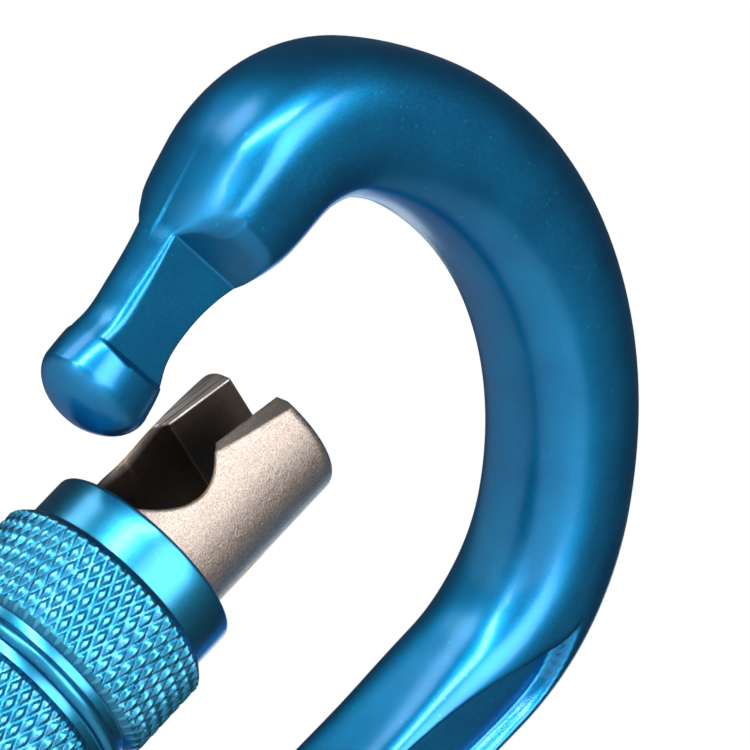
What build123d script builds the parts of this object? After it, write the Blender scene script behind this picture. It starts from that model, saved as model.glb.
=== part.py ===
from build123d import *
from math import cos, radians, sin
import os

# A screw-gate carabiner hanging by its bow, with its gate held open.
# The frame lies in the XZ plane, its front faces -Y, the gate is on the -X side and the spine on +X.
# The origin is the rope seat: the lowest line of the bar's inner side at the crown of the bow.
# All lengths are in millimetres and all angles in degrees.

# Bow, shoulder and spine of the forged frame
bar_size = 10.0           # across the bow's bar, both ways
bar_corner = 4.5          # corner radius of that bar, nearly round
bow_radius = 25.6         # centreline of the crown
nose_bend_radius = 9.0    # tighter bend between the crown and the nose
nose_bend_from = 36.3     # where that bend starts, from straight up towards the gate
gate_lean = 8.1           # the nose and the closed gate lean outwards by this much
shoulder_radius = 16.4    # tighter bend between the crown and the spine
shoulder_from = 50.8      # where that bend starts, from straight up towards the spine
spine_lean = 8.0          # the spine leans outwards towards the top by this much
spine_size = 8.0          # across the spine, both ways
spine_corner = 2.2
spine_taper = 12.0        # length over which the bar thins down to the spine
heel_radius = 11.0        # centreline of the bend at the lower end

# Recess along both faces of the spine, which leaves a ridge at each edge
recess_width = 3.6
recess_depth = 1.3
recess_margin = 3.0       # left solid beyond each end of the recess

# Nose: a flat neck that the gate's slot takes, and a cross-wise head that its pocket takes
nose_length = 16.3        # from the end of the nose bend to the centre of the head
neck_width = 5.6          # in the plane of the frame
neck_thickness = 3.5
neck_corner = 1.1
neck_offset = -0.2        # neck's middle from the gate's axis, outwards is negative
neck_top = 10.0           # above the head's centre
root_length = 3.0         # slanted facets between the neck and the full bar
head_radius = 2.9
head_length = 6.4         # in the plane of the frame
head_rounding = 1.6
head_offset = 0.2

# Gate
gate_reach = 50.0         # hinge to the centre of the head
gate_radius = 5.25
gate_rest = 13.6          # how far the gate is held open
tip_above_head = 7.9      # the gate's tip stands above the head's centre
tip_rounding = 0.8
slot_clearance = 0.575    # between the neck and each side of the slot
pocket_clearance = 1.1    # round the head
pocket_drop = 0.5         # the pocket's centre is this far below the head's
pocket_end_gap = 0.7      # between the head's inner end and the pocket's floor
tip_flat_depth = 2.2      # the slanted flat cuts this deep into the tip's outer side
tip_flat_lean = 11.2
thread_depth = 0.65       # the gate's screw thread, as a plain band over its crests
thread_length = 10.6
thread_end_gap = 0.6      # between the thread's top and the shoulder in the unscrewed sleeve

# Hinge
rivet_radius = 1.5
rivet_clearance = 0.05    # between the rivet and the gate's ears
rivet_head_radius = 2.3
rivet_head_height = 0.7
rivet_head_gap = 0.1      # between the head's rim or face and its seat in the ear
tongue_thickness = 4.0
tongue_radius = 3.4       # round the rivet
fork_clearance = 0.12     # between the tongue and each ear
cam_offset = 1.8          # the tongue's cam is this far inwards of the rivet
stalk_root = 2.0          # the tongue's foot runs this deep into the frame's arm
hinge_gap = 0.75          # between the turning ears, or the fork's end, and the frame

# Return spring and its plunger in the gate's bore
bore_radius = 2.55
bore_depth = 34.0         # above the hinge
plunger_clearance = 0.1
cam_clearance = 0.1
plunger_length = 6.0
stem_radius = 1.1
stem_length = 4.5
wire_radius = 0.35
coil_radius = 1.9
spring_turns = 11
spring_end_gap = 0.08

# Locking sleeve, from its top edge down
sleeve_drop = 4.4         # the unscrewed sleeve's top edge is this far below the nose's head
sleeve_clearance = 0.2    # round the gate
ring_wall = 1.5           # plain ring at each end, measured out from the bore
ring_height = 3.3
knurl_wall = 2.45         # also out from the bore
knurl_height = 6.8        # each of the three knurled bands
knurl_rounding = 0.6
bead_height = 2.4         # smooth groove between two bands, with a round bead in it
groove_wall = 1.75
bead_radius = 0.55
thread_clearance = 0.1
chamber_height = 12.0     # wider part of the bore that runs over the gate's thread

# Split wire ring that carries the sleeve along the gate
snap_wire_height = 0.7
snap_wire_width = 0.7
snap_gap = 1.2            # where the ring is split
snap_clearance = 0.05
snap_from_top = 5.2       # below the sleeve's top edge


def on_circle(centre, radius, from_up):
    """A point on a circle in the frame's plane, at an angle from straight up towards +X."""
    return Vector(centre.X + radius * sin(radians(from_up)), 0, centre.Z + radius * cos(radians(from_up)))


def arc(centre, radius, start, end):
    """The arc of a circle in the frame's plane between two angles from straight up."""
    middle = on_circle(centre, radius, (start + end) / 2)
    return ThreePointArc(on_circle(centre, radius, start), middle, on_circle(centre, radius, end))


def rounded_bar(place, along, width, thickness, corner):
    """A section across the frame: its width lies in the frame's plane."""
    across = Vector(0, 1, 0).cross(along)
    return Plane(place, x_dir=across, z_dir=along) * RectangleRounded(width, thickness, corner)


# Centres and ends of the frame's bends
front = Vector(0, -1, 0)
crown_centre = Vector(0, 0, bar_size / 2 - bow_radius)
nose_centre = on_circle(crown_centre, bow_radius - nose_bend_radius, -nose_bend_from)
shoulder_centre = on_circle(crown_centre, bow_radius - shoulder_radius, shoulder_from)
closed_up = Vector(-sin(radians(gate_lean)), 0, cos(radians(gate_lean)))
inwards = Vector(cos(radians(gate_lean)), 0, sin(radians(gate_lean)))
spine_down = Vector(-sin(radians(spine_lean)), 0, -cos(radians(spine_lean)))
spine_inwards = Vector(-cos(radians(spine_lean)), 0, sin(radians(spine_lean)))
nose_end = on_circle(nose_centre, nose_bend_radius, -90 - gate_lean)
spine_start = on_circle(shoulder_centre, shoulder_radius, 90 + spine_lean)
head_centre = nose_end - closed_up * nose_length
hinge = head_centre - closed_up * gate_reach
arm_length = gate_radius + hinge_gap      # the frame's arm stops this far below the hinge


def heel_centre():
    """The centre of the circle that touches both the spine's line and the closed gate's line."""
    a, b = spine_inwards, inwards
    right_a = a.dot(spine_start) + heel_radius
    right_b = b.dot(hinge) + heel_radius
    spread = a.X * b.Z - a.Z * b.X
    return Vector((right_a * b.Z - a.Z * right_b) / spread, 0, (a.X * right_b - right_a * b.X) / spread)


heel = heel_centre()
spine_end = heel - spine_inwards * heel_radius
arm_start = heel - inwards * heel_radius
taper_end = spine_start + spine_down * spine_taper
open_lean = gate_rest - gate_lean
gate_place = Pos(hinge.X, 0, hinge.Z) * Rot(0, open_lean, 0)
closed_place = Pos(hinge.X, 0, hinge.Z) * Rot(0, -gate_lean, 0)

# Sizes that follow from the ones above
slot_width = neck_thickness + 2 * slot_clearance
pocket_radius = head_radius + pocket_clearance
pocket_floor = head_offset + head_length / 2 + pocket_end_gap
pocket_centre = gate_reach - pocket_drop
gate_tip = gate_reach + tip_above_head
fork_width = tongue_thickness + 2 * fork_clearance
fork_depth = tongue_radius + cam_offset + hinge_gap
sleeve_height = 2 * ring_height + 3 * knurl_height + 2 * bead_height
sleeve_bore = gate_radius + sleeve_clearance
sleeve_top = gate_reach - sleeve_drop
ring_radius = sleeve_bore + ring_wall
knurl_radius = sleeve_bore + knurl_wall
groove_radius = sleeve_bore + groove_wall
thread_top = sleeve_top - sleeve_height + chamber_height - thread_end_gap
thread_radius = gate_radius + thread_depth
chamber_radius = thread_radius + thread_clearance
cam_height = tongue_radius + cam_offset * sin(radians(gate_rest)) + cam_clearance


def bow():
    """The bar from the nose round the crown and the shoulder to the top of the spine."""
    start = head_centre + closed_up * (neck_top + root_length)
    path = Line(start, nose_end)
    path += arc(nose_centre, nose_bend_radius, -90 - gate_lean, -nose_bend_from)
    path += arc(crown_centre, bow_radius, -nose_bend_from, shoulder_from)
    path += arc(shoulder_centre, shoulder_radius, shoulder_from, 90 + spine_lean)
    return sweep(rounded_bar(start, closed_up, bar_size, bar_size, bar_corner), path=path)


def spine_transition():
    """The bar thins down evenly from the shoulder to the spine."""
    upper = rounded_bar(spine_start, spine_down, bar_size, bar_size, bar_corner)
    lower = rounded_bar(taper_end, spine_down, spine_size, spine_size, spine_corner)
    return loft([upper, lower])


def lower_frame():
    """The spine, the heel bend and the arm that carries the hinge."""
    path = Line(taper_end, spine_end)
    path += arc(heel, heel_radius, 90 + spine_lean, 270 - gate_lean)
    path += Line(arm_start, hinge - closed_up * arm_length)
    return sweep(rounded_bar(taper_end, spine_down, spine_size, spine_size, spine_corner), path=path)


def spine_recess():
    """Round-ended grooves along the front and the back of the spine."""
    length = (spine_end - taper_end).length - 2 * recess_margin
    middle = (spine_end + taper_end) / 2
    floor = spine_size / 2 - recess_depth
    cuts = []
    for side in (front, -front):
        place = Plane(middle + side * floor, x_dir=spine_down, z_dir=side)
        cuts.append(extrude(place * SlotOverall(length, recess_width), amount=2 * recess_depth))
    return cuts


def nose():
    """The slanted root, the flat neck and the cross-wise rounded head."""
    top = head_centre + closed_up * (neck_top + root_length)
    bottom = head_centre + closed_up * neck_top + inwards * neck_offset
    root = loft([
        rounded_bar(top, closed_up, bar_size, bar_size, bar_corner),
        rounded_bar(bottom, closed_up, neck_width, neck_thickness, neck_corner),
    ])
    neck_section = rounded_bar(bottom, -closed_up, neck_width, neck_thickness, neck_corner)
    neck = extrude(neck_section, amount=neck_top)
    head = Cylinder(head_radius, head_length)
    head = fillet(head.edges().filter_by(GeomType.CIRCLE), head_rounding)
    head_place = Plane(head_centre + inwards * head_offset, x_dir=closed_up, z_dir=inwards)
    return root + neck + head_place * head


def tongue():
    """The web that the gate's fork turns on, with a cam for the plunger and a hole for the rivet."""
    web = Rot(90, 0, 0) * Cylinder(tongue_radius, tongue_thickness)
    web += Pos(cam_offset, 0, 0) * Rot(90, 0, 0) * Cylinder(tongue_radius, tongue_thickness)
    stalk_height = arm_length + stalk_root
    hanging = (Align.CENTER, Align.CENTER, Align.MAX)
    web += Box(2 * tongue_radius, tongue_thickness, stalk_height, align=hanging)
    web -= Rot(90, 0, 0) * Cylinder(rivet_radius, 2 * tongue_thickness)
    return closed_place * web


def forged_body():
    shape = bow() + spine_transition() + lower_frame() + nose() + tongue()
    for cut in spine_recess():
        shape -= cut
    return shape


def gate():
    """Turned from one rod: forked at the hinge, bored for the spring, slotted and pocketed at the tip."""
    upright = (Align.CENTER, Align.CENTER, Align.MIN)
    rod = Cylinder(gate_radius, gate_tip, align=upright)
    rod = fillet(rod.edges().filter_by(GeomType.CIRCLE).sort_by(Axis.Z)[-1], tip_rounding)
    hanging = (Align.CENTER, Align.CENTER, Align.MAX)
    rounded_end = Rot(90, 0, 0) * Cylinder(gate_radius, 2 * gate_radius)
    rod += Cylinder(gate_radius, gate_radius, align=hanging) & rounded_end
    rod += Pos(0, 0, thread_top) * Cylinder(thread_radius, thread_length, align=hanging)
    rod -= Pos(0, 0, -gate_radius) * Cylinder(bore_radius, bore_depth + gate_radius, align=upright)
    rod -= Pos(0, 0, fork_depth) * Box(4 * gate_radius, fork_width, 4 * gate_radius, align=hanging)
    rod -= tip_slot() + tip_pocket() + tip_flat() + rivet_seats()
    return gate_place * rod


def tip_slot():
    """Open at the tip and right through, down into the pocket."""
    height = gate_tip - pocket_centre
    slot = Box(4 * gate_radius, slot_width, 2 * height, align=(Align.CENTER, Align.CENTER, Align.MIN))
    return Pos(0, 0, pocket_centre) * slot


def tip_pocket():
    """A round hole bored in from the outer side, which the nose's head swings into."""
    depth = pocket_floor + 2 * gate_radius
    pocket = Rot(0, 90, 0) * Cylinder(pocket_radius, depth)
    return Pos(pocket_floor - depth / 2, 0, pocket_centre) * pocket


def tip_flat():
    """The slanted flat on the tip's outer side."""
    block = Box(4 * gate_radius, 4 * gate_radius, 8 * gate_radius, align=(Align.MAX, Align.CENTER, Align.CENTER))
    return Pos(tip_flat_depth - gate_radius, 0, gate_tip) * Rot(0, tip_flat_lean, 0) * block


def rivet_seats():
    """The hole through both ears and a flat round seat on each for the rivet's heads."""
    seat_floor = gate_radius - rivet_head_height - rivet_head_gap
    holes = Rot(90, 0, 0) * Cylinder(rivet_radius + rivet_clearance, 4 * gate_radius)
    for side in (1, -1):
        seat = Rot(90, 0, 0) * Cylinder(rivet_head_radius + rivet_head_gap, gate_radius)
        holes += Pos(0, side * (seat_floor + gate_radius / 2), 0) * seat
    return holes


def hinge_rivet():
    pin_length = 2 * (gate_radius - rivet_head_height)
    rivet = Rot(90, 0, 0) * Cylinder(rivet_radius, pin_length)
    for side in (1, -1):
        head = Rot(90, 0, 0) * Cylinder(rivet_head_radius, rivet_head_height)
        rivet += Pos(0, side * (pin_length + rivet_head_height) / 2, 0) * head
    return closed_place * rivet


def spring_plunger():
    """Slides in the gate's bore: its flat foot rides on the tongue's cam and its stem guides the spring."""
    upright = (Align.CENTER, Align.CENTER, Align.MIN)
    plunger = Cylinder(bore_radius - plunger_clearance, plunger_length, align=upright)
    plunger += Pos(0, 0, plunger_length) * Cylinder(stem_radius, stem_length, align=upright)
    return gate_place * Pos(0, 0, cam_height) * plunger


def gate_spring():
    """Round wire coiled between the plunger and the blind end of the bore."""
    start = cam_height + plunger_length + wire_radius + spring_end_gap
    height = bore_depth - wire_radius - spring_end_gap - start
    coil = Helix(pitch=height / spring_turns, height=height, radius=coil_radius)
    wire = sweep(Plane(coil @ 0, z_dir=coil % 0) * Circle(wire_radius), path=coil, is_frenet=True)
    return gate_place * Pos(0, 0, start) * wire


def knurl_band(top):
    band = Cylinder(knurl_radius, knurl_height, align=(Align.CENTER, Align.CENTER, Align.MAX))
    return Pos(0, 0, top) * fillet(band.edges().filter_by(GeomType.CIRCLE), knurl_rounding)


def locking_sleeve():
    """Two plain end rings, three knurled bands and two beads between them, bored to run on the gate."""
    hanging = (Align.CENTER, Align.CENTER, Align.MAX)
    sleeve = Cylinder(ring_radius, sleeve_height, align=hanging)
    for n in range(3):
        sleeve += knurl_band(-ring_height - n * (knurl_height + bead_height))
    for n in range(2):
        top = -ring_height - knurl_height - n * (knurl_height + bead_height)
        sleeve += Pos(0, 0, top) * Cylinder(groove_radius, bead_height, align=hanging)
        sleeve += Pos(0, 0, top - bead_height / 2) * Torus(groove_radius, bead_radius)
    sleeve -= Cylinder(sleeve_bore, 3 * sleeve_height)
    chamber = Cylinder(chamber_radius, 2 * chamber_height, align=hanging)
    sleeve -= Pos(0, 0, chamber_height - sleeve_height) * chamber
    groove_height = snap_wire_height + 2 * snap_clearance
    groove = Cylinder(snap_outer() + snap_clearance, groove_height)
    sleeve -= Pos(0, 0, -snap_from_top) * groove
    return gate_place * Pos(0, 0, sleeve_top) * sleeve


def snap_outer():
    return gate_radius + snap_clearance + snap_wire_width


def snap_ring():
    """A split ring of square wire in the sleeve's groove."""
    ring = Cylinder(snap_outer(), snap_wire_height) - Cylinder(gate_radius + snap_clearance, 2 * snap_wire_height)
    ring -= Pos(snap_outer(), 0, 0) * Box(2 * snap_outer(), snap_gap, 2 * snap_wire_height)
    return gate_place * Pos(0, 0, sleeve_top - snap_from_top) * ring


pieces = {
    "forged_body": forged_body,
    "gate": gate,
    "locking_sleeve": locking_sleeve,
    "hinge_rivet": hinge_rivet,
    "gate_spring": gate_spring,
    "spring_plunger": spring_plunger,
    "snap_ring": snap_ring,
}

os.makedirs("parts", exist_ok=True)
for name, make in pieces.items():
    export_step(make(), f"parts/{name}.step")
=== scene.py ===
import math

import bmesh
import bpy
import numpy as np
from mathutils import Matrix, Vector


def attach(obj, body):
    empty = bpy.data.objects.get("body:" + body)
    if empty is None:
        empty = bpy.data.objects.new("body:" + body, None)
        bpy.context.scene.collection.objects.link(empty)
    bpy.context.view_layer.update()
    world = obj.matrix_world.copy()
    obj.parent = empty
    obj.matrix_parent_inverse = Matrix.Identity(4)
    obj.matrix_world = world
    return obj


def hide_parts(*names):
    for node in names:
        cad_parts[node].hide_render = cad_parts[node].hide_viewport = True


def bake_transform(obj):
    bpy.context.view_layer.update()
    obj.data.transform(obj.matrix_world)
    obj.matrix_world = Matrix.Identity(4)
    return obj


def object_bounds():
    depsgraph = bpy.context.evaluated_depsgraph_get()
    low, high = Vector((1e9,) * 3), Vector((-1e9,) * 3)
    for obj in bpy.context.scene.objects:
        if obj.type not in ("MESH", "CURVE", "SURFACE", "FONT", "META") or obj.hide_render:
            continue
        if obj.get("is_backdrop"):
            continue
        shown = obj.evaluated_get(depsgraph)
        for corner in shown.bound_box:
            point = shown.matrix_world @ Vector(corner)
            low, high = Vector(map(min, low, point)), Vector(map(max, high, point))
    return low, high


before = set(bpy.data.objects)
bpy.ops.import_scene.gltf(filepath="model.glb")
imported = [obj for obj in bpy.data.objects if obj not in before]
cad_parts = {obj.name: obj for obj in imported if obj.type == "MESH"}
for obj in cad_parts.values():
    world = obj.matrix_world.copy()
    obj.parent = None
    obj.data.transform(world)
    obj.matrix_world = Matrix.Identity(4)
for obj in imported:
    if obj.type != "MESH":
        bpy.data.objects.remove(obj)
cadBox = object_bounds()
print("frame loaded")

mm = 0.001

# camera first: a long lens from the front left, a little below the carabiner
camera = {"place": (-194.03, -220.72, -95.81), "right": (0.4677, -0.6479, 0.6012),
          "up": (-0.6158, 0.2490, 0.7475), "lens": 230.4, "sensor": 36.0}
right = Vector(camera["right"]).normalized()
back = right.cross(Vector(camera["up"])).normalized()
up = back.cross(right)
cameraData = bpy.data.cameras.new("camera")
cameraData.lens = camera["lens"]
cameraData.sensor_width = camera["sensor"]
cameraData.clip_start = 0.01
cameraObject = bpy.data.objects.new("camera", cameraData)
turned = Matrix((right, up, back)).transposed().to_4x4()
cameraObject.matrix_world = Matrix.Translation(Vector(camera["place"]) * mm) @ turned
bpy.context.scene.collection.objects.link(cameraObject)
bpy.context.scene.camera = cameraObject
print("camera placed")


# mesh helpers

# quads of a grid whose columns close on themselves, and whose rows may too
def gridFaces(rows, columns, closeRows=False):
    row = np.arange(rows if closeRows else rows - 1)[:, None]
    column = np.arange(columns)[None, :]
    nextRow = (row + 1) % rows
    nextColumn = (column + 1) % columns
    quads = [row * columns + column, row * columns + nextColumn,
             nextRow * columns + nextColumn, nextRow * columns + column]
    return np.stack(quads, -1).reshape(-1, 4)


# doubles merged, faces turned outward, all faces smooth
def tidyMesh(mesh):
    work = bmesh.new()
    work.from_mesh(mesh)
    bmesh.ops.remove_doubles(work, verts=work.verts, dist=0.002 * mm)
    bmesh.ops.recalc_face_normals(work, faces=work.faces)
    work.to_mesh(mesh)
    work.free()
    mesh.polygons.foreach_set("use_smooth", np.ones(len(mesh.polygons), bool))
    mesh.update()


# a smooth piece from a (rows, columns, 3) array in millimetres and its faces. Marks are numbers that
# its material reads, one for each point
def meshPiece(name, points, faces, extra=(), marks=None):
    mesh = bpy.data.meshes.new(name)
    allFaces = faces.tolist() + [list(face) for face in extra]
    mesh.from_pydata((points.reshape(-1, 3) * mm).tolist(), [], allFaces)
    for label, values in (marks or {}).items():
        mesh.attributes.new(label, "FLOAT", "POINT").data.foreach_set("value", values.astype(np.float32).ravel())
    tidyMesh(mesh)
    piece = bpy.data.objects.new(name, mesh)
    bpy.context.scene.collection.objects.link(piece)
    return piece


# 0 below low, 1 above high, and an even S between them
def smoothStep(x, low, high):
    t = np.clip((x - low) / (high - low), 0, 1)
    return t * t * (3 - 2 * t)


# the lesser of two values, with the corner between them rounded over width
def softMin(a, b, width):
    h = np.clip(0.5 + 0.5 * (b - a) / width, 0, 1)
    return b + (a - b) * h - width * h * (1 - h)


# a value read from rows of (place, values...), with smooth slopes through every row
def easedTable(x, rows, column):
    table = np.array(rows, float)
    place, value = table[:, 0], table[:, column]
    slope = np.gradient(value, place)
    index = np.clip(np.searchsorted(place, x) - 1, 0, len(place) - 2)
    step = place[index + 1] - place[index]
    t = np.clip((x - place[index]) / step, 0, 1)
    return ((2 * t**3 - 3 * t**2 + 1) * value[index] + (t**3 - 2 * t**2 + t) * step * slope[index]
            + (3 * t**2 - 2 * t**3) * value[index + 1] + (t**3 - t**2) * step * slope[index + 1])


# the forged frame: lengths in millimetres, angles in degrees from straight up
body = {
    "barSize": 10.0, "bowRadius": 25.6, "noseBendRadius": 9.0, "noseBendFrom": -36.3, "gateLean": 8.1,
    "shoulderRadius": 16.4, "shoulderFrom": 50.8, "spineLean": 8.0, "heelRadius": 11.0,
    "noseLength": 16.3, "gateReach": 50.0, "armLength": 6.0,
    "columns": 176,
    # place along the bar, outer half width, inner half width, half thickness, squareness
    "sections": [
        (0.5, 3.95, 3.60, 2.95, 2.4), (2.4, 3.55, 3.20, 2.90, 2.6), (4.0, 3.12, 2.50, 2.80, 2.6),
        (6.4, 3.08, 2.40, 2.90, 2.6), (9.2, 3.16, 3.05, 3.40, 2.6), (11.0, 3.32, 3.85, 3.95, 2.7),
        (13.0, 3.56, 4.75, 4.50, 2.8), (15.5, 3.80, 5.30, 4.80, 2.8), (20.0, 4.15, 5.38, 4.95, 2.8),
        (28.0, 4.70, 5.15, 4.98, 2.7), (38.0, 5.08, 5.15, 5.05, 2.4), (52.0, 4.85, 5.00, 5.00, 2.3),
        (64.0, 4.68, 4.85, 4.90, 2.3), (72.0, 4.58, 4.65, 4.80, 2.5), (79.0, 4.30, 4.20, 4.45, 3.2),
        (85.0, 3.85, 3.70, 4.10, 4.6), (91.0, 3.68, 3.55, 4.00, 5.5), (105.0, 3.80, 3.75, 4.00, 5.5),
        (150.0, 4.00, 4.00, 4.00, 4.6), (185.0, 4.00, 4.00, 4.00, 4.6)],
    "headCentre": 0.5, "headDrop": 2.65,
    "webHalf": 1.75, "webFrom": 2.7, "webTo": 10.4, "stepSlope": 2.6, "facetSlope": 1.2, "webEdge": 0.16,
    "webOuterEdge": 0.55, "rootEdge": 0.45,
    "recessDepth": 1.25, "recessRim": 0.75, "recessTo": 143.5, "recessRound": 3.0,
    # place along the bar, outer and inner edges of the recess: it starts in a point near the outer edge
    "recess": [(71.5, -1.2, -1.2), (72.6, -1.6, -0.9), (75.4, -2.5, 0.6), (78.2, -2.75, 1.55), (81.0, -2.85, 2.15),
               (85.0, -2.85, 2.60), (91.0, -2.80, 2.75), (120.0, -2.80, 2.80), (146.0, -2.80, 2.80)],
    "noseTo": 18.0,  # the web and its slopes end before this place
    "valleyDepth": 0.12, "valleyWidth": 0.6, "valleyAcross": 3.2, "valleyTurn": 0.05,
    "valleyFrom": (9.5, 11.0), "valleyTo": (14.5, 19.0)}


def onCircle(centre, radius, degrees):
    angle = np.radians(degrees)
    return np.stack([centre[0] + radius * np.sin(angle), centre[1] + radius * np.cos(angle)], -1)


# centres and ends of the bends, as (x, z)
lean = math.radians(body["gateLean"])
closedUp = np.array([-math.sin(lean), math.cos(lean)])
inwards = np.array([math.cos(lean), math.sin(lean)])
tilt = math.radians(body["spineLean"])
spineInwards = np.array([-math.cos(tilt), math.sin(tilt)])
crown = np.array([0.0, body["barSize"] / 2 - body["bowRadius"]])
noseBend = onCircle(crown, body["bowRadius"] - body["noseBendRadius"], body["noseBendFrom"])
shoulder = onCircle(crown, body["bowRadius"] - body["shoulderRadius"], body["shoulderFrom"])
noseEnd = onCircle(noseBend, body["noseBendRadius"], -90 - body["gateLean"])
spineStart = onCircle(shoulder, body["shoulderRadius"], 90 + body["spineLean"])
headCentre = noseEnd - closedUp * body["noseLength"]
hinge = headCentre - closedUp * body["gateReach"]
touching = np.array([spineInwards @ spineStart, inwards @ hinge]) + body["heelRadius"]
heel = np.linalg.solve(np.array([spineInwards, inwards]), touching)  # touches the spine's and the gate's line
spineEnd = heel - spineInwards * body["heelRadius"]
armStart = heel - inwards * body["heelRadius"]
armEnd = hinge - closedUp * body["armLength"]


# evenly spaced points from start up to end, and the inward direction at each
def straight(start, end, side, steps):
    t = np.linspace(0, 1, steps, endpoint=False)[:, None]
    return start + (end - start) * t, np.repeat(side[None, :], steps, 0)


# points round a bend between two angles, and the direction to its centre at each
def bend(centre, radius, low, high, steps):
    points = onCircle(centre, radius, np.linspace(low, high, steps, endpoint=False))
    return points, (centre - points) / radius


# the bar's middle line from the nose's tip round to the arm: places, points and inward directions
def barPath():
    tip = body["headCentre"] - body["headDrop"] * np.cos(np.radians(np.linspace(0, 90, 20, endpoint=False)))
    fine = np.arange(body["headCentre"], 14.0, 0.1)
    coarse = np.linspace(14.0, body["noseLength"], 8, endpoint=False)
    along = np.concatenate([tip, fine, coarse])
    runs = [
        (headCentre + along[:, None] * closedUp, np.repeat(inwards[None, :], len(along), 0)),
        bend(noseBend, body["noseBendRadius"], -90 - body["gateLean"], body["noseBendFrom"], 18),
        bend(crown, body["bowRadius"], body["noseBendFrom"], body["shoulderFrom"], 44),
        bend(shoulder, body["shoulderRadius"], body["shoulderFrom"], 90 + body["spineLean"], 24),
        straight(spineStart, spineEnd, spineInwards, 128),
        bend(heel, body["heelRadius"], 90 + body["spineLean"], 270 - body["gateLean"], 46),
        straight(armStart, armEnd, inwards, 9)]
    points = np.concatenate([run[0] for run in runs] + [armEnd[None, :]])
    side = np.concatenate([run[1] for run in runs] + [inwards[None, :]])
    steps = np.linalg.norm(np.diff(points, axis=0), axis=1)
    place = along[0] + np.concatenate([[0], np.cumsum(steps)])
    return place, points, side


# a section carried along the bar's middle line. Round each section the distance from the middle
# is that of a superellipse, the front and back are pressed flat at the nose's neck by a plane and a
# slope at each of its ends, and each face of the spine sinks between two ridges
def makeBody():
    place, points, side = barPath()
    angle = np.linspace(0, 2 * np.pi, body["columns"], endpoint=False)[None, :]
    outer, inner, thick, square = [easedTable(place, body["sections"], n)[:, None] for n in (1, 2, 3, 4)]
    cosine, sine = np.cos(angle), np.sin(angle)
    width = np.where(cosine > 0, inner, outer)
    reach = (np.abs(cosine / width) ** square + np.abs(sine / thick) ** square) ** (-1 / square)
    below = np.clip((body["headCentre"] - place) / body["headDrop"], 0, 1)[:, None]
    reach = reach * np.sqrt(1 - below**2)
    across, depth = reach * cosine, np.abs(reach * sine)
    # neck: a flat web between the head's step and the slanted facet
    along = place[:, None] + 0 * across
    web = body["webHalf"] + body["stepSlope"] * np.maximum(body["webFrom"] - along, 0)
    web = web + body["facetSlope"] * np.maximum(along - body["webTo"], 0)
    atNose = place[:, None] < body["noseTo"]
    edge = np.where(across < -1, body["webOuterEdge"], body["webEdge"])
    edge = edge + body["rootEdge"] * smoothStep(along, body["webTo"] + 0.4, body["webTo"] + 1.6)
    depth = np.where(atNose, softMin(depth, web, edge), depth)
    # shallow valley from the flat's upper corner up beside the front face
    away = across + body["valleyAcross"] - body["valleyTurn"] * (along - body["webTo"])
    fade = smoothStep(along, *body["valleyFrom"]) * (1 - smoothStep(along, *body["valleyTo"]))
    valley = body["valleyDepth"] * np.exp(-(away / body["valleyWidth"]) ** 2) * fade
    shrink = 1 - valley * np.where(sine < 0, 1, 0) / np.maximum(reach, 1)
    across, depth = across * shrink, depth * shrink
    # recess on both faces of the spine, pointed at its upper end and round at its lower end
    low, high = [easedTable(place, body["recess"], n)[:, None] for n in (1, 2)]
    close = np.sqrt(np.clip((body["recessTo"] - along) / body["recessRound"], 0, 1))
    low, high = low * close, high * close
    fromEdge = np.minimum(across - low, high - across)
    sink = body["recessDepth"] * smoothStep(fromEdge, 0, body["recessRim"]) * (along > body["recess"][0][0])
    onFace = np.abs(sine) > 0.5
    depth = np.where(onFace, depth - sink, depth)
    # the arm's end is eased by a small chamfer
    ease = 1 - 0.08 * smoothStep(along, place[-1] - 0.35, place[-1])
    across, depth = across * ease, depth * ease
    y = depth * np.sign(sine)
    x = points[:, 0:1] + side[:, 0:1] * across
    z = points[:, 1:2] + side[:, 1:2] * across
    grid = np.stack([x, y, z], -1)
    rows, columns = grid.shape[:2]
    last = (rows - 1) * columns
    return meshPiece("forgedFrame", grid, gridFaces(rows, columns), [list(range(last, last + columns))])


bodyPiece = makeBody()
print("frame surface made:", len(bodyPiece.data.polygons), "faces")


# the tongue on the frame's arm that the gate turns on
tongue = {"radius": 3.4, "camOffset": 1.8, "half": 2.0, "footDepth": 8.0, "hole": 1.53, "edge": 0.25, "columns": 120}


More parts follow.
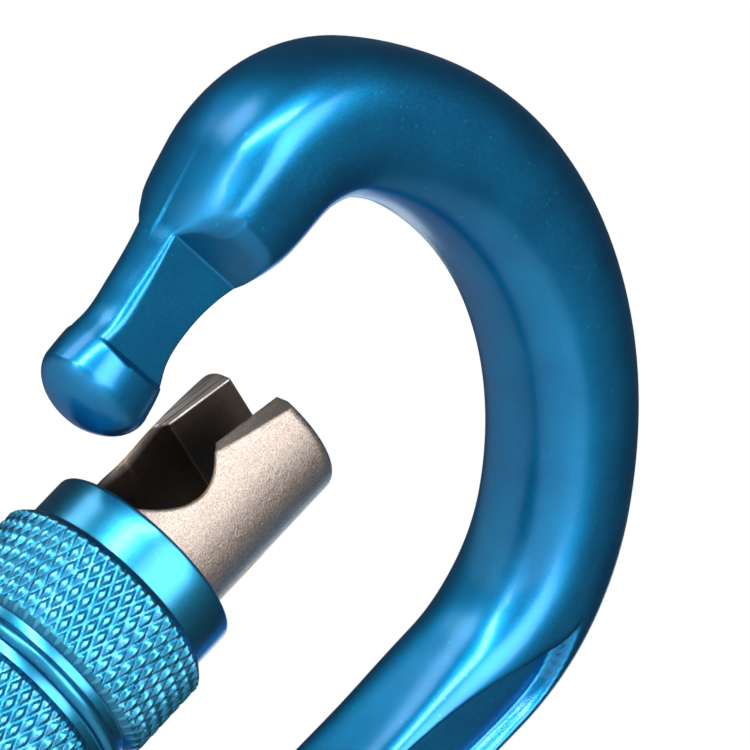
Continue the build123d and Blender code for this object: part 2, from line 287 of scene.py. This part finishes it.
# round the rivet, the outline's distance is the greatest of two circles and a straight foot along
# each direction. It is carried over a profile across the web: hole, face, eased rim, face, hole
def makeTongue():
    angle = np.linspace(0, 2 * np.pi, tongue["columns"], endpoint=False)
    cosine, sine = np.cos(angle), np.sin(angle)
    offset, radius = tongue["camOffset"], tongue["radius"]
    cam = offset * cosine + np.sqrt(radius**2 - (offset * sine) ** 2)
    foot = np.where(sine < 0, np.minimum(radius / np.maximum(np.abs(cosine), 1e-6),
                                         tongue["footDepth"] / np.maximum(-sine, 1e-6)), 0)
    outline = np.maximum(np.maximum(cam, radius), foot)
    half, edge, hole = tongue["half"], tongue["edge"], tongue["hole"]
    # (share of the way from hole to rim, distance in from the rim, place across)
    profile = np.array([
        (0, 0, -half), (0.5, edge, -half), (1, edge, -half), (1, 0.3 * edge, -half + 0.3 * edge),
        (1, 0, -half + edge), (1, 0, 0), (1, 0, half - edge), (1, 0.3 * edge, half - 0.3 * edge),
        (1, edge, half), (0.5, edge, half), (0, 0, half), (0, 0, 0)])
    share, inset, across = [profile[:, n:n + 1] for n in range(3)]
    reach = hole + (outline[None, :] - hole) * share - inset
    flat = inwards[None, None, :] * (reach * cosine)[..., None] + closedUp[None, None, :] * (reach * sine)[..., None]
    grid = np.stack([hinge[0] + flat[..., 0], across + 0 * reach, hinge[1] + flat[..., 1]], -1)
    piece = meshPiece("hingeTongue", grid, gridFaces(len(profile), tongue["columns"], True))
    piece.data.set_sharp_from_angle(angle=math.radians(40))
    return piece


tonguePiece = makeTongue()
print("tongue made")


# the gate's own frame: heights are above the hinge along the gate as it is held open
heldOpen = 13.6
openLean = math.radians(heldOpen - body["gateLean"])
gateUp = np.array([math.sin(openLean), 0, math.cos(openLean)])
gateSide = np.array([math.cos(openLean), 0, -math.sin(openLean)])
gateFoot = np.array([hinge[0], 0, hinge[1]])


# points from a distance from the gate's axis, an angle round it and a height above the hinge
def alongGate(radius, angle, height):
    x, y = radius * np.cos(angle), radius * np.sin(angle)
    return (gateFoot + x[..., None] * gateSide + y[..., None] * np.array([0, 1.0, 0])
            + height[..., None] * gateUp)


# the locking sleeve: heights are below its top edge
sleeve = {
    "top": 45.6, "ringRadius": 6.95, "ringHeight": 3.3, "knurlRadius": 7.9, "knurlHeight": 6.8, "bandChamfer": 0.62,
    "beadHeight": 2.4, "grooveRadius": 7.2, "beadRadius": 0.55, "bore": 5.45, "chamber": 6.0, "chamberHeight": 12.0,
    "ringEdge": 0.3, "snapFromTop": 5.2, "snapHalf": 0.4, "snapRadius": 6.05,
    "grooveInset": 0.02, "beadFoot": 0.72, "ledge": 0.2, "ringLedge": 0.12,
    "starts": 56, "pitch": 1.95, "flat": 0.34, "cut": 0.3, "columns": 448, "rowsPerBand": 31}


# down the outside and back up the bore: height below the top edge, radius, and knurled or not
def sleeveProfile():
    s = sleeve
    edge, ring = s["ringEdge"], s["ringRadius"]
    groove, ledge, foot = s["grooveRadius"] - s["grooveInset"], s["ledge"], s["beadFoot"]
    corner = np.radians([0, 22.5, 45, 67.5, 90])
    rows = [(0.25, s["bore"], 0), (0.08, s["bore"] + 0.08, 0), (0, s["bore"] + 0.25, 0), (0, 6.2, 0)]
    rows += [(edge - edge * math.cos(a), ring - edge + edge * math.sin(a), 0) for a in corner]
    rows += [(1.2, ring, 0), (2.4, ring, 0), (s["ringHeight"] - s["ringLedge"], ring, 0)]
    top = s["ringHeight"]
    for band in range(3):
        chamfer, height, radius = s["bandChamfer"], s["knurlHeight"], s["knurlRadius"]
        steps = np.linspace(0, height, s["rowsPerBand"])
        inside = np.maximum(chamfer - np.minimum(steps, height - steps), 0)
        rows += [(top, groove, 0)]
        rows += [(top + step, radius - drop, 1) for step, drop in zip(steps, inside)]
        top += height
        rows += [(top, groove, 0)]
        if band < 2:
            middle = top + s["beadHeight"] / 2
            rows += [(top + ledge, groove, 0), (middle - foot, groove, 0)]
            turns = np.radians(np.linspace(-90, 90, 15))
            rows += [(middle + s["beadRadius"] * math.sin(a),
                      s["grooveRadius"] + s["beadRadius"] * math.cos(a), 0) for a in turns]
            top += s["beadHeight"]
            rows += [(middle + foot, groove, 0), (top - ledge, groove, 0)]
    bottom = top + s["ringHeight"]
    rows += [(top + s["ringLedge"], ring, 0), (top + 1.2, ring, 0), (top + 2.4, ring, 0)]
    rows += [(bottom - edge + edge * math.sin(a), ring - edge + edge * math.cos(a), 0) for a in corner]
    rows += [(bottom, s["chamber"] + 0.3, 0), (bottom - 0.3, s["chamber"], 0)]
    step = bottom - s["chamberHeight"]
    rows += [(bottom - 6.0, s["chamber"], 0), (step, s["chamber"], 0), (step, s["bore"], 0), (12.0, s["bore"], 0)]
    snap = s["snapFromTop"]
    rows += [(snap + s["snapHalf"], s["bore"], 0), (snap + s["snapHalf"], s["snapRadius"], 0),
             (snap - s["snapHalf"], s["snapRadius"], 0), (snap - s["snapHalf"], s["bore"], 0), (2.4, s["bore"], 0)]
    return np.array(rows)


# the profile turned round the gate's axis. On a knurled row the radius is the lesser of the profile's
# and a diamond knurl's: two sets of V cuts that wind opposite ways, which leave small flat tops
def makeSleeve():
    profile = sleeveProfile()
    down, radius, knurled = [profile[:, n:n + 1] for n in range(3)]
    angle = np.linspace(0, 2 * np.pi, sleeve["columns"], endpoint=False)[None, :]
    turns = sleeve["starts"] * angle / (2 * np.pi)
    cuts = []
    for way in (1, -1):
        phase = np.mod(turns + way * down / sleeve["pitch"], 1)
        fromMiddle = np.abs(phase - 0.5) * 2
        cuts.append(np.clip((fromMiddle - sleeve["flat"]) / (1 - sleeve["flat"]), 0, 1))
    depth = sleeve["cut"] * np.maximum(cuts[0], cuts[1])
    cutRadius = np.minimum(radius, sleeve["knurlRadius"] - depth)
    radius = np.where(knurled > 0, cutRadius, radius + 0 * depth)
    grid = alongGate(radius, angle + 0 * radius, sleeve["top"] - down + 0 * radius)
    cut = np.maximum(cuts[0], cuts[1])
    marks = {"cut": np.where(knurled > 0, cut, 0), "knurled": knurled + 0 * cut}
    piece = meshPiece("knurledSleeve", grid, gridFaces(len(profile), sleeve["columns"], True), marks=marks)
    piece.data.set_sharp_from_angle(angle=math.radians(32))
    return piece


sleevePiece = makeSleeve()
print("sleeve made:", len(sleevePiece.data.polygons), "faces")


# the gate: the machined rod with its edges eased, and a real thread in place of its plain band
gate = {"edge": 0.38, "segments": 4, "plainBandOver": 5.6, "plainBandTo": 5.26,
        "threadTop": 25.2, "threadLength": 10.6, "threadPitch": 1.25, "threadCrest": 5.9, "threadRoot": 5.3,
        "threadFade": 0.8, "threadFlank": (0.15, 0.85), "threadSunk": 5.2, "threadInside": 5.1,
        "threadColumns": 160, "threadRows": 110}


# side, front and height of points in metres, in the gate's own frame, in millimetres
def gateCoordinates(points):
    away = points / mm - gateFoot
    return away @ gateSide, away[:, 1], away @ gateUp


# a copy of a node's mesh with its seams merged, and flat areas made one face where flatten is above 0
def mergedCopy(node, name, flatten=0.0):
    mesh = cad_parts[node].data.copy()
    mesh.name = name
    work = bmesh.new()
    work.from_mesh(mesh)
    bmesh.ops.remove_doubles(work, verts=work.verts, dist=0.003 * mm)
    if flatten:
        bmesh.ops.dissolve_limit(work, angle_limit=math.radians(flatten), verts=work.verts, edges=work.edges)
    work.to_mesh(mesh)
    work.free()
    mesh.polygons.foreach_set("use_smooth", np.ones(len(mesh.polygons), bool))
    points = np.empty(len(mesh.vertices) * 3)
    mesh.vertices.foreach_get("co", points)
    piece = bpy.data.objects.new(name, mesh)
    bpy.context.scene.collection.objects.link(piece)
    return piece, points.reshape(-1, 3)


# a copy of the machined rod, merged, with the thread's plain band turned down to the rod
def makeGate():
    piece, points = mergedCopy("gate", "gateRod", 0.6)
    mesh = piece.data
    side, front, height = gateCoordinates(points)
    radius = np.hypot(side, front)
    low = gate["threadTop"] - gate["threadLength"]
    band = (radius > gate["plainBandOver"]) & (height > low - 0.1) & (height < gate["threadTop"] + 0.1)
    shrink = np.where(band, gate["plainBandTo"] / np.maximum(radius, 1), 1)
    points = (gateFoot + (side * shrink)[:, None] * gateSide + (front * shrink)[:, None] * np.array([0, 1.0, 0])
              + height[:, None] * gateUp) * mm
    mesh.vertices.foreach_set("co", points.ravel())
    mesh.update()
    bevel = piece.modifiers.new("edges", "BEVEL")
    bevel.width = gate["edge"] * mm
    bevel.segments = gate["segments"]
    bevel.limit_method = "ANGLE"
    bevel.angle_limit = math.radians(32)
    bevel.harden_normals = True
    return piece


# radius over angle and height: a rounded triangle wave that climbs one pitch each turn, and runs out
# into the rod at both ends
def makeThread():
    top, run = gate["threadTop"], gate["threadFade"]
    low = top - gate["threadLength"]
    height = np.linspace(low, top, gate["threadRows"])[:, None]
    angle = np.linspace(0, 2 * np.pi, gate["threadColumns"], endpoint=False)[None, :]
    wave = np.mod(height / gate["threadPitch"] - angle / (2 * np.pi), 1)
    ridge = smoothStep(1 - np.abs(wave - 0.5) * 2, *gate["threadFlank"])
    fade = smoothStep(height, low, low + run) * (1 - smoothStep(height, top - run, top))
    radius = gate["threadRoot"] + (gate["threadCrest"] - gate["threadRoot"]) * ridge * fade
    radius[0], radius[-1] = gate["threadSunk"], gate["threadSunk"]
    inner = np.full((1, gate["threadColumns"]), gate["threadInside"])
    grid = alongGate(radius, angle + 0 * radius, height + 0 * radius)
    cap = alongGate(np.concatenate([inner, inner]), np.concatenate([angle, angle]),
                    np.concatenate([inner * 0 + top, inner * 0 + low]))
    grid = np.concatenate([grid, cap])
    return meshPiece("gateThread", grid, gridFaces(len(grid), gate["threadColumns"], True))


gatePiece = makeGate()
threadPiece = makeThread()
springPiece, springPoints = mergedCopy("gate_spring", "returnSpring")
print("gate, thread and spring made")

for piece, bodyName in ((bodyPiece, "frame"), (tonguePiece, "frame"), (sleevePiece, "sleeve"),
                        (gatePiece, "gate"), (threadPiece, "gate")):
    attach(piece, bodyName)
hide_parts("forged_body")
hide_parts("forged_body")
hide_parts("locking_sleeve")
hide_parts("gate")
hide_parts("gate")
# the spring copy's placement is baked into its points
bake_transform(springPiece)
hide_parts("gate_spring")


# materials

def addNode(tree, kind, inputs=None, **settings):
    node = tree.nodes.new(kind)
    for name, value in settings.items():
        setattr(node, name, value)
    for name, value in (inputs or {}).items():
        if isinstance(value, bpy.types.NodeSocket):
            tree.links.new(value, node.inputs[name])
        else:
            node.inputs[name].default_value = value
    return node


def math2(tree, operation, a, b=0.0, clamp=False):
    return addNode(tree, "ShaderNodeMath", {0: a, 1: b}, operation=operation, use_clamp=clamp).outputs[0]


def blendColour(tree, factor, a, b):
    node = addNode(tree, "ShaderNodeMix", data_type="RGBA")
    for socket, value in ((node.inputs[0], factor), (node.inputs[6], a), (node.inputs[7], b)):
        if isinstance(value, bpy.types.NodeSocket):
            tree.links.new(value, socket)
        else:
            socket.default_value = value
    return node.outputs[2]


def newGroup(name, inputs, outputs):
    tree = bpy.data.node_groups.new(name, "ShaderNodeTree")
    for label, kind, value in inputs:
        socket = tree.interface.new_socket(label, in_out="INPUT", socket_type=kind)
        if value is not None:
            socket.default_value = value
    for label, kind in outputs:
        tree.interface.new_socket(label, in_out="OUTPUT", socket_type=kind)
    return tree, tree.nodes.new("NodeGroupInput"), tree.nodes.new("NodeGroupOutput")


# fine bead-blasted grain with a slow mottle over it, and sparse bright specks
def blastedGrainGroup():
    tree, source, sink = newGroup(
        "blastedGrain",
        [("Point", "NodeSocketVector", None), ("Grain Size", "NodeSocketFloat", 0.0001)],
        [("Grain", "NodeSocketFloat"), ("Mottle", "NodeSocketFloat"), ("Specks", "NodeSocketFloat")])
    scale = math2(tree, "DIVIDE", 1.0, source.outputs["Grain Size"])
    fine = addNode(tree, "ShaderNodeTexNoise", {"Vector": source.outputs["Point"], "Scale": scale, "Detail": 3.0,
                                                "Roughness": 0.6})
    slow = addNode(tree, "ShaderNodeTexNoise", {"Vector": source.outputs["Point"],
                                                "Scale": math2(tree, "MULTIPLY", scale, 0.03), "Detail": 4.0})
    cells = addNode(tree, "ShaderNodeTexVoronoi", {"Vector": source.outputs["Point"],
                                                   "Scale": math2(tree, "MULTIPLY", scale, 0.45)})
    specks = math2(tree, "GREATER_THAN", cells.outputs["Color"], 0.9)
    near = math2(tree, "LESS_THAN", cells.outputs["Distance"], 0.32)
    tree.links.new(fine.outputs[0], sink.inputs["Grain"])
    tree.links.new(slow.outputs[0], sink.inputs["Mottle"])
    tree.links.new(math2(tree, "MULTIPLY", specks, near), sink.inputs["Specks"])
    return tree


# 1 on edges turned outward within a radius and 0 elsewhere, with the eased normal
def edgeMaskGroup():
    tree, source, sink = newGroup("edgeMask", [("Radius", "NodeSocketFloat", 0.0002), ("Gain", "NodeSocketFloat", 6.0)],
                                  [("Mask", "NodeSocketFloat"), ("Normal", "NodeSocketVector")])
    eased = addNode(tree, "ShaderNodeBevel", {"Radius": source.outputs["Radius"]}, samples=6)
    flat = addNode(tree, "ShaderNodeNewGeometry")
    dot = addNode(tree, "ShaderNodeVectorMath", {0: eased.outputs[0], 1: flat.outputs["Normal"]},
                  operation="DOT_PRODUCT").outputs["Value"]
    turned = math2(tree, "SUBTRACT", 1.0, dot)
    mask = math2(tree, "MULTIPLY", turned, source.outputs["Gain"], True)
    tree.links.new(mask, sink.inputs["Mask"])
    tree.links.new(eased.outputs[0], sink.inputs["Normal"])
    return tree


grainGroup = blastedGrainGroup()
edgeGroup = edgeMaskGroup()


def startMaterial(name):
    material = bpy.data.materials.new(name)
    material.use_nodes = True
    tree = material.node_tree
    tree.nodes.clear()
    shader = addNode(tree, "ShaderNodeBsdfPrincipled")
    result = addNode(tree, "ShaderNodeOutputMaterial")
    tree.links.new(shader.outputs[0], result.inputs[0])
    point = addNode(tree, "ShaderNodeTexCoord").outputs["Object"]
    return material, tree, shader, point


def grainOn(tree, point, size):
    node = addNode(tree, "ShaderNodeGroup", node_tree=grainGroup)
    tree.links.new(point, node.inputs["Point"])
    node.inputs["Grain Size"].default_value = size
    return node.outputs


def edgesOn(tree, radius, gain):
    node = addNode(tree, "ShaderNodeGroup", node_tree=edgeGroup)
    node.inputs["Radius"].default_value = radius
    node.inputs["Gain"].default_value = gain
    return node.outputs


def ramp(tree, value, low, high, toLow=0.0, toHigh=1.0):
    return addNode(tree, "ShaderNodeMapRange", {0: value, 1: low, 2: high, 3: toLow, 4: toHigh}).outputs[0]


# edges are the wear's radius in metres and its strength
anodised = {
    "frame": {"deep": (0.000, 0.140, 0.340, 1), "bright": (0.000, 0.205, 0.440, 1), "worn": (0.02, 0.40, 0.68, 1),
              "tint": (0.10, 0.40, 0.60, 1), "grain": 0.00016, "roughness": 0.38, "bump": 0.16, "coat": 0.42,
              "coatRoughness": 0.20, "edges": (0.00018, 7.0)},
    # for the sleeve, slope paints shade onto the knurl's cut slopes, and worn also paints the knurl's tops and a
    # highlight line down each cut
    "sleeve": {"deep": (0.000, 0.165, 0.330, 1), "bright": (0.000, 0.225, 0.400, 1), "worn": (0.07, 0.42, 0.58, 1),
               "slope": (0.000, 0.105, 0.220, 1), "tint": (0.15, 0.50, 0.75, 1), "grain": 0.00012,
               "roughness": 0.32, "bump": 0.05, "coat": 0.55, "coatRoughness": 0.24,
               "edges": (0.00018, 7.0)}}


def markOn(tree, label):
    return addNode(tree, "ShaderNodeAttribute", attribute_name=label).outputs["Fac"]


# dyed anodised aluminium: a tinted metal under a thin clear layer, paler where edges have rubbed.
# On a knurl the flat tops are painted pale, partly as rubbed wear and partly as painted highlight, a thin painted
# highlight line runs down each cut, and the slopes are painted in deep shade
def anodisedMaterial(name, look, knurled=False):
    material, tree, shader, point = startMaterial(name)
    grain = grainOn(tree, point, look["grain"])
    edges = edgesOn(tree, *look["edges"])
    colour = blendColour(tree, ramp(tree, grain["Mottle"], 0.3, 0.7), look["deep"], look["bright"])
    colour = blendColour(tree, ramp(tree, grain["Grain"], 0.40, 0.75, 0.0, 0.12), colour, look["worn"])
    colour = blendColour(tree, math2(tree, "MULTIPLY", grain["Specks"], 0.35), colour, look["worn"])
    rubbed = math2(tree, "MULTIPLY", edges["Mask"], ramp(tree, grain["Mottle"], 0.35, 0.65, 0.15, 0.6))
    colour = blendColour(tree, rubbed, colour, look["worn"])
    if knurled:
        # painted light on the knurl: pale flat tops as rubbed wear and painted highlight, a painted highlight line down
        # each cut, painted shade on the slopes
        cut, band = markOn(tree, "cut"), markOn(tree, "knurled")
        rubbedLitTops = math2(tree, "MULTIPLY", ramp(tree, cut, 0.02, 0.22, 1.0, 0.0), band)
        lines = ramp(tree, cut, 0.80, 0.98, 0.0, 0.55)
        shadedSlopes = math2(tree, "MULTIPLY", ramp(tree, cut, 0.15, 0.4), ramp(tree, cut, 0.75, 0.9, 1.0, 0.0))
        colour = blendColour(tree, math2(tree, "MULTIPLY", shadedSlopes, 0.35), colour, look["slope"])
        colour = blendColour(tree, math2(tree, "MAXIMUM", math2(tree, "MULTIPLY", rubbedLitTops, 0.85), lines),
                             colour, look["worn"])
    bump = addNode(tree, "ShaderNodeBump", {"Height": grain["Grain"], "Strength": look["bump"],
                                            "Distance": 0.00005, "Normal": edges["Normal"]})
    tree.links.new(colour, shader.inputs["Base Color"])
    tree.links.new(ramp(tree, grain["Grain"], 0.3, 0.7, look["roughness"] - 0.04, look["roughness"] + 0.05),
                   shader.inputs["Roughness"])
    tree.links.new(bump.outputs[0], shader.inputs["Normal"])
    shader.inputs["Metallic"].default_value = 1.0
    shader.inputs["Coat Weight"].default_value = look["coat"]
    shader.inputs["Coat Roughness"].default_value = look["coatRoughness"]
    shader.inputs["Coat IOR"].default_value = 1.6
    shader.inputs["Specular Tint"].default_value = look["tint"]
    return material


nickel = {"pale": (0.48, 0.41, 0.365, 1), "dark": (0.205, 0.165, 0.142, 1), "worn": (0.30, 0.19, 0.09, 1),
          # bore is the near-black that paints shade into the slot, pocket and bore
          "bore": (0.030, 0.020, 0.013, 1), "milled": (0.80, 0.77, 0.74, 1), "grain": 0.00011, "roughness": 0.38,
          "bump": 0.9, "edges": (0.00030, 8.0),
          # metres, in the gate's own frame: where the slanted flat lies, and where the inside begins
          "flatTop": 0.0579, "flatSlope": 0.198, "flatInset": 0.00305, "flatBand": 0.00012, "flatFrom": 0.040,
          "insideRadius": (0.00470, 0.00500)}


# a point turned into the gate's own frame, its height above the hinge along Z
def gatePoint(tree, point):
    return addNode(tree, "ShaderNodeMapping", {"Vector": point, "Location": tuple(gateFoot * mm),
                                               "Rotation": (0.0, openLean, 0.0)}, vector_type="TEXTURE").outputs[0]


# bead-blasted nickel plate: coarse sparkle outside, a near-black in the slot, pocket and bore that is partly their
# darker finish and partly painted shade, golden on rubbed edges, and fine milled lines on the slanted flat
def gateMaterial():
    material, tree, shader, point = startMaterial("blastedNickel")
    grain = grainOn(tree, point, nickel["grain"])
    edges = edgesOn(tree, *nickel["edges"])
    local = gatePoint(tree, point)
    parts = addNode(tree, "ShaderNodeSeparateXYZ", {0: local}).outputs
    radius = math2(tree, "SQRT", math2(tree, "ADD", math2(tree, "MULTIPLY", parts[0], parts[0]),
                                       math2(tree, "MULTIPLY", parts[1], parts[1])))
    # the slanted flat faces outward and leans back from the tip
    belowTip = math2(tree, "SUBTRACT", nickel["flatTop"], parts[2])
    flatDepth = math2(tree, "ADD", parts[0], math2(tree, "MULTIPLY", belowTip, nickel["flatSlope"]))
    fromFlat = math2(tree, "ABSOLUTE", math2(tree, "ADD", flatDepth, nickel["flatInset"]))
    onFlat = math2(tree, "LESS_THAN", fromFlat, nickel["flatBand"])
    onFlat = math2(tree, "MULTIPLY", onFlat, math2(tree, "GREATER_THAN", parts[2], nickel["flatFrom"]))
    # painted shade: nearer the axis than the rod's skin, the slot, pocket and bore are painted near-black, except on
    # the slanted flat
    inside = math2(tree, "MULTIPLY", ramp(tree, radius, *nickel["insideRadius"], 1.0, 0.0),
                   math2(tree, "SUBTRACT", 1.0, onFlat))
    # only the back prong's flat keeps its milled lines
    onFlat = math2(tree, "MULTIPLY", onFlat, math2(tree, "GREATER_THAN", parts[1], 0.0))
    colour = blendColour(tree, ramp(tree, grain["Grain"], 0.34, 0.66), nickel["dark"], nickel["pale"])
    colour = blendColour(tree, ramp(tree, grain["Mottle"], 0.3, 0.75, 0.0, 0.3), colour, nickel["pale"])
    # the near-black painted shade goes on here
    colour = blendColour(tree, math2(tree, "MULTIPLY", inside, 0.93), colour, nickel["bore"])
    worn = math2(tree, "MULTIPLY", edges["Mask"], ramp(tree, grain["Grain"], 0.3, 0.6, 0.3, 0.9))
    colour = blendColour(tree, worn, colour, nickel["worn"])
    lines = addNode(tree, "ShaderNodeTexNoise", {
        "Vector": addNode(tree, "ShaderNodeMapping", {"Vector": local, "Scale": (1.0, 5200.0, 220.0)}).outputs[0],
        "Scale": 1.0, "Detail": 2.0}).outputs[0]
    colour = blendColour(tree, math2(tree, "MULTIPLY", onFlat, 0.8), colour,
                         blendColour(tree, ramp(tree, lines, 0.35, 0.65), nickel["dark"], nickel["milled"]))
    height = math2(tree, "ADD", math2(tree, "MULTIPLY", grain["Grain"], math2(tree, "SUBTRACT", 1.0, onFlat)),
                   math2(tree, "MULTIPLY", lines, onFlat))
    bump = addNode(tree, "ShaderNodeBump", {"Height": height, "Strength": nickel["bump"], "Distance": 0.00006,
                                            "Normal": edges["Normal"]})
    tree.links.new(colour, shader.inputs["Base Color"])
    tree.links.new(ramp(tree, grain["Grain"], 0.3, 0.7, nickel["roughness"] - 0.08, nickel["roughness"] + 0.1),
                   shader.inputs["Roughness"])
    tree.links.new(bump.outputs[0], shader.inputs["Normal"])
    shader.inputs["Metallic"].default_value = 1.0
    return material


steel = {"pale": (0.62, 0.60, 0.58, 1), "dark": (0.38, 0.37, 0.36, 1), "rubbed": (0.75, 0.73, 0.70, 1),
         "grain": 0.00022, "roughness": 0.26, "edges": (0.00012, 6.0)}


# drawn and turned stainless steel: fine scratches that run round, pale rubbed edges
def steelMaterial():
    material, tree, shader, point = startMaterial("turnedSteel")
    grain = grainOn(tree, point, steel["grain"])
    edges = edgesOn(tree, *steel["edges"])
    lines = addNode(tree, "ShaderNodeTexNoise", {
        "Vector": addNode(tree, "ShaderNodeMapping", {"Vector": point, "Scale": (900.0, 6000.0, 900.0)}).outputs[0],
        "Scale": 1.0, "Detail": 3.0}).outputs[0]
    colour = blendColour(tree, ramp(tree, lines, 0.3, 0.7), steel["dark"], steel["pale"])
    colour = blendColour(tree, math2(tree, "MULTIPLY", edges["Mask"], 0.6), colour, steel["rubbed"])
    bump = addNode(tree, "ShaderNodeBump", {"Height": lines, "Strength": 0.25, "Distance": 0.00003,
                                            "Normal": edges["Normal"]})
    tree.links.new(colour, shader.inputs["Base Color"])
    tree.links.new(ramp(tree, grain["Mottle"], 0.3, 0.7, steel["roughness"] - 0.06, steel["roughness"] + 0.1),
                   shader.inputs["Roughness"])
    tree.links.new(bump.outputs[0], shader.inputs["Normal"])
    shader.inputs["Metallic"].default_value = 1.0
    return material


def wear(piece, material):
    piece.data.materials.clear()
    piece.data.materials.append(material)


frameFinish = anodisedMaterial("anodisedFrame", anodised["frame"])
sleeveFinish = anodisedMaterial("anodisedSleeve", anodised["sleeve"], knurled=True)
gateFinish = gateMaterial()
steelFinish = steelMaterial()
for piece in (bodyPiece, tonguePiece):
    wear(piece, frameFinish)
wear(sleevePiece, sleeveFinish)
for piece in (gatePiece, threadPiece):
    wear(piece, gateFinish)
wear(springPiece, steelFinish)
for node in ("hinge_rivet", "spring_plunger", "snap_ring"):
    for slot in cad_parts[node].material_slots:
        slot.material = steelFinish
print("materials made")


# studio: soft lights set by the camera's own directions, a pale floor, a white surround
studio = {
    "middle": (0.0, 0.0, -45.0),
    "lights": [  # name, right, up, back, distance, width, height, power
        ("key", 0.71, 0.13, 0.69, 0.60, 0.37, 0.46, 3.2),
        ("strip", 0.02, 0.72, 0.69, 0.60, 0.56, 0.08, 3.8),
        ("left", -0.40, 0.38, 0.83, 0.60, 0.09, 0.20, 1.2),
        ("above", -0.50, 0.82, 0.05, 0.60, 0.25, 0.20, 0.7),
        ("rear", 0.10, -0.35, -0.95, 0.90, 0.50, 0.50, 1.5)],
    "front": 0.31, "behind": 0.10, "floorSide": 3.0, "floorDrop": 0.002}


def addLight(name, x, y, z, distance, width, height, power):
    data = bpy.data.lights.new(name, "AREA")
    data.shape = "RECTANGLE"
    data.size = width
    data.size_y = height
    data.energy = power
    light = bpy.data.objects.new(name, data)
    away = (right * x + up * y + back * z).normalized()
    across = up.cross(away).normalized()
    facing = Matrix((across, away.cross(across), away)).transposed().to_4x4()
    light.matrix_world = Matrix.Translation(Vector(studio["middle"]) * mm + away * distance) @ facing
    bpy.context.scene.collection.objects.link(light)


for light in studio["lights"]:
    addLight(*light)

# the surround is paler on the camera's side than behind, and white where the camera sees it
world = bpy.data.worlds.new("surround")
world.use_nodes = True
worldTree = world.node_tree
worldTree.nodes.clear()
seen = addNode(worldTree, "ShaderNodeLightPath").outputs["Is Camera Ray"]
toward = addNode(worldTree, "ShaderNodeTexCoord").outputs["Generated"]
facing = addNode(worldTree, "ShaderNodeVectorMath", {0: toward, 1: tuple(back)}, operation="DOT_PRODUCT")
dim = ramp(worldTree, facing.outputs["Value"], -0.4, 0.5, studio["behind"], studio["front"])
strength = math2(worldTree, "MAXIMUM", dim, seen)
background = addNode(worldTree, "ShaderNodeBackground", {"Color": (1, 1, 1, 1), "Strength": strength})
worldOut = addNode(worldTree, "ShaderNodeOutputWorld")
worldTree.links.new(background.outputs[0], worldOut.inputs[0])
bpy.context.scene.world = world
bpy.context.scene.view_settings.view_transform = "Standard"

low = cadBox[0].z - studio["floorDrop"]
side = studio["floorSide"]
floorMesh = bpy.data.meshes.new("floor")
corners = [(-side, -side, low), (side, -side, low), (side, side, low), (-side, side, low)]
floorMesh.from_pydata(corners, [], [(0, 1, 2, 3)])
floor = bpy.data.objects.new("floor", floorMesh)
bpy.context.scene.collection.objects.link(floor)
floorFinish, floorTree, floorShader, floorPoint = startMaterial("paleFloor")
floorShader.inputs["Base Color"].default_value = (0.86, 0.86, 0.86, 1)
floorShader.inputs["Roughness"].default_value = 0.75
floorMesh.materials.append(floorFinish)
floor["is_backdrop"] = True
print("studio made")

low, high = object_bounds()
